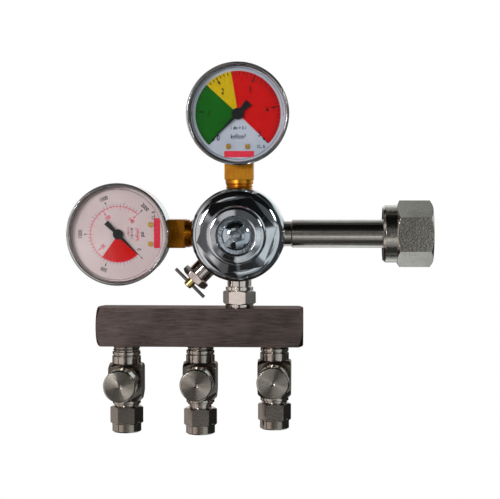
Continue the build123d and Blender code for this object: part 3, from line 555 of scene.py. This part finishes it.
def letter(shape, text, height, place, narrow=0.8):
    """Figures or a unit, of a given capital height, centred on a place."""
    curve = bpy.data.curves.new("lettering", "FONT")
    curve.body = text
    curve.align_x = "CENTER"
    curve.align_y = "CENTER"
    curve.resolution_u = 3
    curve.offset = HEAVY
    holder = bpy.data.objects.new("lettering", curve)
    flat = bpy.data.meshes.new_from_object(holder)
    tall = height / CAPITAL
    flat.transform(place @ sized(narrow * tall, tall))
    shape.from_mesh(flat)
    bpy.data.objects.remove(holder)
    bpy.data.curves.remove(curve)
    bpy.data.meshes.remove(flat)


def write(shape, lines):
    """Lays out lines of lettering: (text, capital height, x, y), in millimetres."""
    for text, height, x, y in lines:
        letter(shape, text, height * MM, at(x * MM, y * MM))


def lay_ink(shape, name, gauge, finish, layer=1):
    """Lays a print on a dial, as thin as ink."""
    bmesh.ops.remove_doubles(shape, verts=shape.verts, dist=0.001 * MM)
    flat = bmesh.ops.extrude_face_region(shape, geom=shape.faces[:])
    raised = [item for item in flat["geom"] if isinstance(item, bmesh.types.BMVert)]
    bmesh.ops.translate(shape, vec=(0, 0, INK), verts=raised)
    lifted = dials[gauge] @ Matrix.Translation((0, 0, INK_LIFT * layer))
    bmesh.ops.transform(shape, matrix=lifted, verts=shape.verts)
    finish_piece(shape, f"{gauge}_{name}", finish, "regulator")


# Delivery dial: nought to five, with a coloured band for each range of use.
UNITS = (226.5, 177.0, 121.2, 65.5, 10.1, -43.9)
UNIT_PLACES = ((-9.6, -11.8), (-14.1, 0.3), (-7.4, 10.7), (6.0, 11.6), (14.3, 1.8), (10.6, -9.8))
BAND_R = 20.8 * MM
GREEN_TO = 137.6
YELLOW_TO = 99.3
BANDS = ((green_ink, "green_band", UNITS[0], GREEN_TO),
         (yellow_ink, "yellow_band", GREEN_TO, YELLOW_TO),
         (red_ink, "red_band", YELLOW_TO, UNITS[-1]))
SMALL_MARKS = 10
MARK_FROM = 18.9 * MM
MARK_TO = 20.5 * MM
DELIVERY_WORDS = (("1 div = 0.1", 1.7, 0.2, -6.9), ("kgf/cm²", 2.3, 0.2, -11.1),
                  ("CL. B", 1.6, 11.2, -16.0))

for ink, name, start, end in BANDS:
    shape = bmesh.new()
    fan(shape, start, end, BAND_R)
    lay_ink(shape, name, "delivery_gauge", ink)

scale = bmesh.new()
for start, end in zip(UNITS, UNITS[1:]):
    for count in range(SMALL_MARKS):
        stroke(scale, start + (end - start) * count / SMALL_MARKS, MARK_FROM, MARK_TO, 0.42 * MM)
for angle in UNITS:
    stroke(scale, angle, MARK_FROM, MARK_TO, 0.5 * MM)
    diamond(scale, angle, 17.6 * MM, 2.9 * MM, 1.1 * MM)
for unit, (x, y) in enumerate(UNIT_PLACES):
    letter(scale, str(unit), 2.9 * MM, at(x * MM, y * MM), narrow=0.75)
write(scale, DELIVERY_WORDS)
lay_ink(scale, "scale", "delivery_gauge", black_ink, layer=2)

# Cylinder dial: nought to two thousand outside, and the same pressure in metric inside.
FULL_PSI = 2000
ZERO_AT = 225.0
PSI_SWEEP = 270.0
RESERVE_TO = 595
ARC_R = 13.6 * MM
ARC_LINE = 0.14 * MM
FINE = 0.17 * MM
METRIC_PER_PSI = 0.0703
METRIC_FULL = 140
METRIC_FIGURES = (50, 100, METRIC_FULL)
PSI_WORDS = (("0", 1.9, -7.4, -10.4), ("1 div = 50", 1.2, 0.4, -6.7), ("psi", 2.0, 0.0, -11.8),
             ("CL. B", 1.6, 9.3, -17.4))
METRIC_WORDS = (("1 div = 5", 1.2, 1.2, -5.0), ("kgf/cm²", 1.9, 0.0, -9.5))


def psi_angle(psi):
    return ZERO_AT - PSI_SWEEP * psi / FULL_PSI


def ring_letter(shape, text, height, angle, radius):
    """Figures that stand with their heads outwards."""
    letter(shape, text, height, turned(angle - 90) @ at(0, radius))


scale = bmesh.new()
for psi in range(0, FULL_PSI + 1, 50):
    mark_to = 15.6 * MM if psi % 250 == 0 else 14.9 * MM
    stroke(scale, psi_angle(psi), ARC_R, mark_to, FINE)
for psi in range(0, FULL_PSI + 1, 500):
    diamond(scale, psi_angle(psi), 16.3 * MM, 1.5 * MM, 0.7 * MM)
    if psi:
        ring_letter(scale, str(psi), 2.0 * MM, psi_angle(psi), 18.6 * MM)
write(scale, PSI_WORDS)
lay_ink(scale, "scale", "cylinder_gauge", black_ink, layer=2)

metric = bmesh.new()
fan(metric, ZERO_AT, ZERO_AT - PSI_SWEEP, ARC_R + ARC_LINE, ARC_R - ARC_LINE)
for pressure in range(0, METRIC_FULL + 1, 5):
    mark_from = 11.9 * MM if pressure % 10 == 0 else 12.7 * MM
    stroke(metric, psi_angle(pressure / METRIC_PER_PSI), mark_from, ARC_R, FINE)
for pressure in METRIC_FIGURES:
    angle = psi_angle(pressure / METRIC_PER_PSI)
    diamond(metric, angle, 11.6 * MM, 1.5 * MM, 0.8 * MM)
    ring_letter(metric, str(pressure), 1.9 * MM, angle, 9.4 * MM)
write(metric, METRIC_WORDS)
lay_ink(metric, "metric_scale", "cylinder_gauge", scale_red_ink, layer=2)

reserve = bmesh.new()
fan(reserve, psi_angle(0), psi_angle(RESERVE_TO), 13.9 * MM)
lay_ink(reserve, "reserve_band", "cylinder_gauge", red_ink)

# Pointers, dial screws, and a plain red bar beyond the screws of either dial.
LABEL = (14.7 * MM, 3.1 * MM)
LABEL_RIGHT = 0.6 * MM
LABEL_DOWN = {"delivery_gauge": 19.6 * MM, "cylinder_gauge": 19.1 * MM}

pointer_black = Finish("pointer_black", (0.004, 0.004, 0.005), 0.4, specular_ior_level=0.1)
pointer_black.feed("Roughness", 0.36 + pointer_black.cloud(1.2 * MM, 3.0) * 0.16)
pointer_black.relief(pointer_black.cloud(0.4 * MM) * (0.006 * MM), 0.1 * MM)
dial_screw_brass = turned_metal("dial_screw_brass", (0.78, 0.5, 0.14), (0.45, 0.24, 0.05), 0.2,
                                EVEN)

for gauge, down in LABEL_DOWN.items():
    dress(painted_shade_enamels[gauge], gauge + "_dial")
    dress(dial_screw_brass, gauge + "_screws")
    dress(pointer_black, gauge + "_pointer")
    shape = bmesh.new()
    bmesh.ops.create_grid(shape, x_segments=1, y_segments=1, size=0.5,
                          matrix=at(LABEL_RIGHT, -down) @ sized(*LABEL))
    bmesh.ops.bevel(shape, geom=shape.verts, offset=0.4 * MM, affect="VERTICES", segments=4,
                    profile=0.5, material=-1)
    lay_ink(shape, "red_bar", gauge, label_red)


# Lenses. Clear polycarbonate, moulded with a raised rim and snapped into the case. Light
# from the lamps passes straight through them to the dials.

clear = Finish("clear_lens", (0.97, 0.98, 0.98), 0.03, transmission_weight=1.0, ior=1.49)
clear.relief(clear.cloud(9 * MM, 1.0) * (0.02 * MM))
shadow_ray = clear.node("LightPath", output="Is Shadow Ray")
open_air = clear.node("BsdfTransparent")
lens_or_air = clear.node("MixShader", {}, {0: shadow_ray, 1: Wire(clear, clear.shader.outputs[0]),
                                           2: open_air})
clear.join(clear.tree.nodes["Material Output"].inputs["Surface"], lens_or_air)
dress(clear, "delivery_gauge_lens", "cylinder_gauge_lens")


# Studio. The object hangs by its nut over a pale floor in a white room. Dark cards, which
# only reflections see, give the plating its contrast.
CAMERA_AT = Vector((-43.7, -750.0, 26.4)) * MM
CAMERA_YAW = radians(2.56)
CAMERA_PITCH = radians(-2.62)
PHOTO_WIDTH = 500
FOCAL_PIXELS = 1512.8
SENSOR = 36.0
MIDDLE = Vector((-0.085, 0.0, 0.0))
ROOM_LIGHT = 0.42
LAMP_DISTANCE = 0.95
LAMPS = (("left_lamp", -26, 10, (0.14, 0.14), 2.2),     # azimuth, elevation, size, watts
         ("right_lamp", 48, 22, (0.12, 0.22), 1.0))
FLOOR_DROP = -0.30
FLOOR_R = 0.62

camera = bpy.data.objects.new("camera", bpy.data.cameras.new("camera"))
camera.data.sensor_width = SENSOR
camera.data.lens = SENSOR * FOCAL_PIXELS / PHOTO_WIDTH
camera.location = CAMERA_AT
camera.rotation_euler = (pi / 2 + CAMERA_PITCH, 0, CAMERA_YAW)
bpy.context.scene.collection.objects.link(camera)
bpy.context.scene.camera = camera
bpy.context.scene.view_settings.view_transform = "Standard"

# The room is white to the camera, to reflections and through the lenses, and dimmer as light.
world = bpy.data.worlds.new("studio")
world.use_nodes = True
bpy.context.scene.world = world
nodes = world.node_tree.nodes
links = world.node_tree.links
path = nodes.new("ShaderNodeLightPath")
seen = nodes.new("ShaderNodeMath")
seen.operation = "ADD"
links.new(path.outputs["Is Camera Ray"], seen.inputs[0])
links.new(path.outputs["Is Glossy Ray"], seen.inputs[1])
shown = nodes.new("ShaderNodeMath")
shown.operation = "ADD"
shown.use_clamp = True
links.new(seen.outputs[0], shown.inputs[0])
links.new(path.outputs["Is Transmission Ray"], shown.inputs[1])
strength = nodes.new("ShaderNodeMapRange")
strength.inputs["To Min"].default_value = ROOM_LIGHT
strength.inputs["To Max"].default_value = 1.0
links.new(shown.outputs[0], strength.inputs["Value"])
background = nodes["Background"]
background.inputs["Color"].default_value = (1.0, 1.0, 1.0, 1.0)
links.new(strength.outputs[0], background.inputs["Strength"])

# Soft lamps, placed by their direction from the object, with 0 at the front.
for name, azimuth, elevation, size, power in LAMPS:
    light = bpy.data.lights.new(name, "AREA")
    light.shape = "RECTANGLE"
    light.size, light.size_y = size
    light.energy = power
    a = radians(azimuth)
    e = radians(elevation)
    out = Vector((sin(a) * cos(e), -cos(a) * cos(e), sin(e)))
    holder = bpy.data.objects.new(name, light)
    holder.location = MIDDLE + out * LAMP_DISTANCE
    holder.rotation_euler = (-out).to_track_quat("-Z", "Y").to_euler()
    bpy.context.scene.collection.objects.link(holder)

# A tent round the object that only reflections and the lenses see. Its tones run round the
# X axis, from straight behind, under the object, past the camera and over the top:
# (degrees, tone).
TENT_R = 1.3
TENT_TONES = (
    (-180, 1.0), (-136, 1.0), (-134, 0.73), (-118, 0.54), (-104, 0.44), (-93, 0.23), (-82, 0.11),
    (-64, 0.12), (-55, 0.165), (-47, 0.28), (-38, 0.38), (-31, 0.58), (-23, 0.80), (-12, 0.70),
    (4, 0.55), (12, 0.25), (18, 0.10), (25, 0.05), (32, 0.025), (42, 0.006), (75, 0.004),
    (83, 0.03), (93, 0.15), (104, 0.27), (134, 0.42), (136, 1.0), (180, 1.0))

# Cards inside the tent, each laid over those before it. Azimuth counts from the camera
# to the right: (azimuth from, to, elevation from, to, softness of its edge, tone).
CARDS = ((-25, 25, -15, 19, 4, 0.10),           # the dark gap round the camera
         (-94, -36, -44, 40, 8, 0.85),          # bright wall on the left, with a dark seam
         (-70, -61, -40, 40, 2, 0.13),
         (-152, -103, -4, 60, 6, 0.28),         # left and behind: grey, and dark below and above
         (-172, -100, -88, -20, 2, 0.04),
         (-172, -120, 32, 88, 2, 0.008),
         (30, 61, -40, 10, 2, 0.75),            # bright wall on the right, dark beyond and below
         (62, 104, -60, 60, 1, 0.05),
         (32, 47, -60, -31, 2, 0.04),
         (100, 158, -88, -25, 3, 0.04),         # right and behind: dark, bright and dark walls
         (100, 175.5, -25, -4, 1, 0.04),
         (106, 150, -4, 36, 5, 0.85),
         (104, 158, 36, 88, 3, 0.008),
         (170, 178.5, -72, -42, 2, 1.0),        # bright strips for the faces of the nut
         (170, 178, 48, 72, 2, 0.62),
         (-38, -19, -13, 7, 3, 0.80),           # small cards near the camera
         (-18, -10.5, -7.5, -1.8, 1, 1.0),
         (-6.6, -2.9, -6, -2, 0.7, 1.0),
         (-32, -3.8, -54, -15, 0.8, 0.02),
         (-32, -6, -82, -54, 1, 0.02),
         (6, 40, -82, -50, 1, 0.03),
         (-60, -5, 22, 60, 1, 0.008),
         (9, 60, 22, 60, 1, 0.008),
         (11.5, 24, -10, 3, 2, 0.85),
         (-18, -3.8, 9, 21, 0.8, 0.6))
LEFT_WHITE = (1.0, 0.94, 0.93)
RIGHT_WHITE = (0.92, 0.99, 1.0)


def stage_piece(shape, name, finish):
    """Puts up a piece of the studio, which isn't part of the object."""
    surface = bpy.data.meshes.new(name)
    shape.to_mesh(surface)
    shape.free()
    surface.materials.append(finish.material)
    piece = bpy.data.objects.new(name, surface)
    bpy.context.scene.collection.objects.link(piece)
    return piece


tent = Finish("tent", (0.0, 0.0, 0.0), 1.0, specular_ior_level=0.0, emission_strength=1.0)
across, deep, up = tent.parts(tent.place)
ahead = deep * -1
azimuth = tent.math("ARCTAN2", across - MIDDLE.x, ahead) * (180 / pi)
elevation = tent.math("ARCSINE", up * (1 / TENT_R)) * (180 / pi)
tone = tent.node("ValToRGB", {}, {0: tent.math("ARCTAN2", up, ahead) * (1 / tau) + 0.5})
stops = tone.socket.node.color_ramp.elements
for degrees, shade in TENT_TONES:
    stop = stops.new((degrees + 180) / 360)
    stop.color = (shade, shade, shade, 1.0)
stops.remove(stops[1])
stops.remove(stops[-1])
for left, right, low, high, soft, shade in CARDS:
    spread = (tent.between(azimuth, left - soft, left + soft)
              * tent.between(azimuth, right + soft, right - soft)
              * tent.between(elevation, low - soft, low + soft)
              * tent.between(elevation, high + soft, high - soft))
    tone = tone + (shade - tone) * spread
white = tent.tint(tent.between(azimuth, -20, 20), LEFT_WHITE, RIGHT_WHITE)
tent.feed("Emission Color", tent.node("Mix", {"data_type": "RGBA"},
                                      {0: tone, 6: (0.0, 0.0, 0.0, 1.0), 7: white}, 2))
tent.material.cycles.emission_sampling = "NONE"

shape = bmesh.new()
bmesh.ops.create_uvsphere(shape, u_segments=64, v_segments=32, radius=TENT_R,
                          matrix=Matrix.Translation(MIDDLE))
shell = stage_piece(shape, "tent", tent)
shell.visible_camera = False
shell.visible_diffuse = False
shell.visible_shadow = False

shape = bmesh.new()
bmesh.ops.create_circle(shape, cap_ends=True, segments=64, radius=FLOOR_R,
                        matrix=Matrix.Translation((MIDDLE.x, 0, FLOOR_DROP)))
floor = stage_piece(shape, "floor", Finish("floor", (0.86, 0.86, 0.85), 0.8))
floor.visible_glossy = False
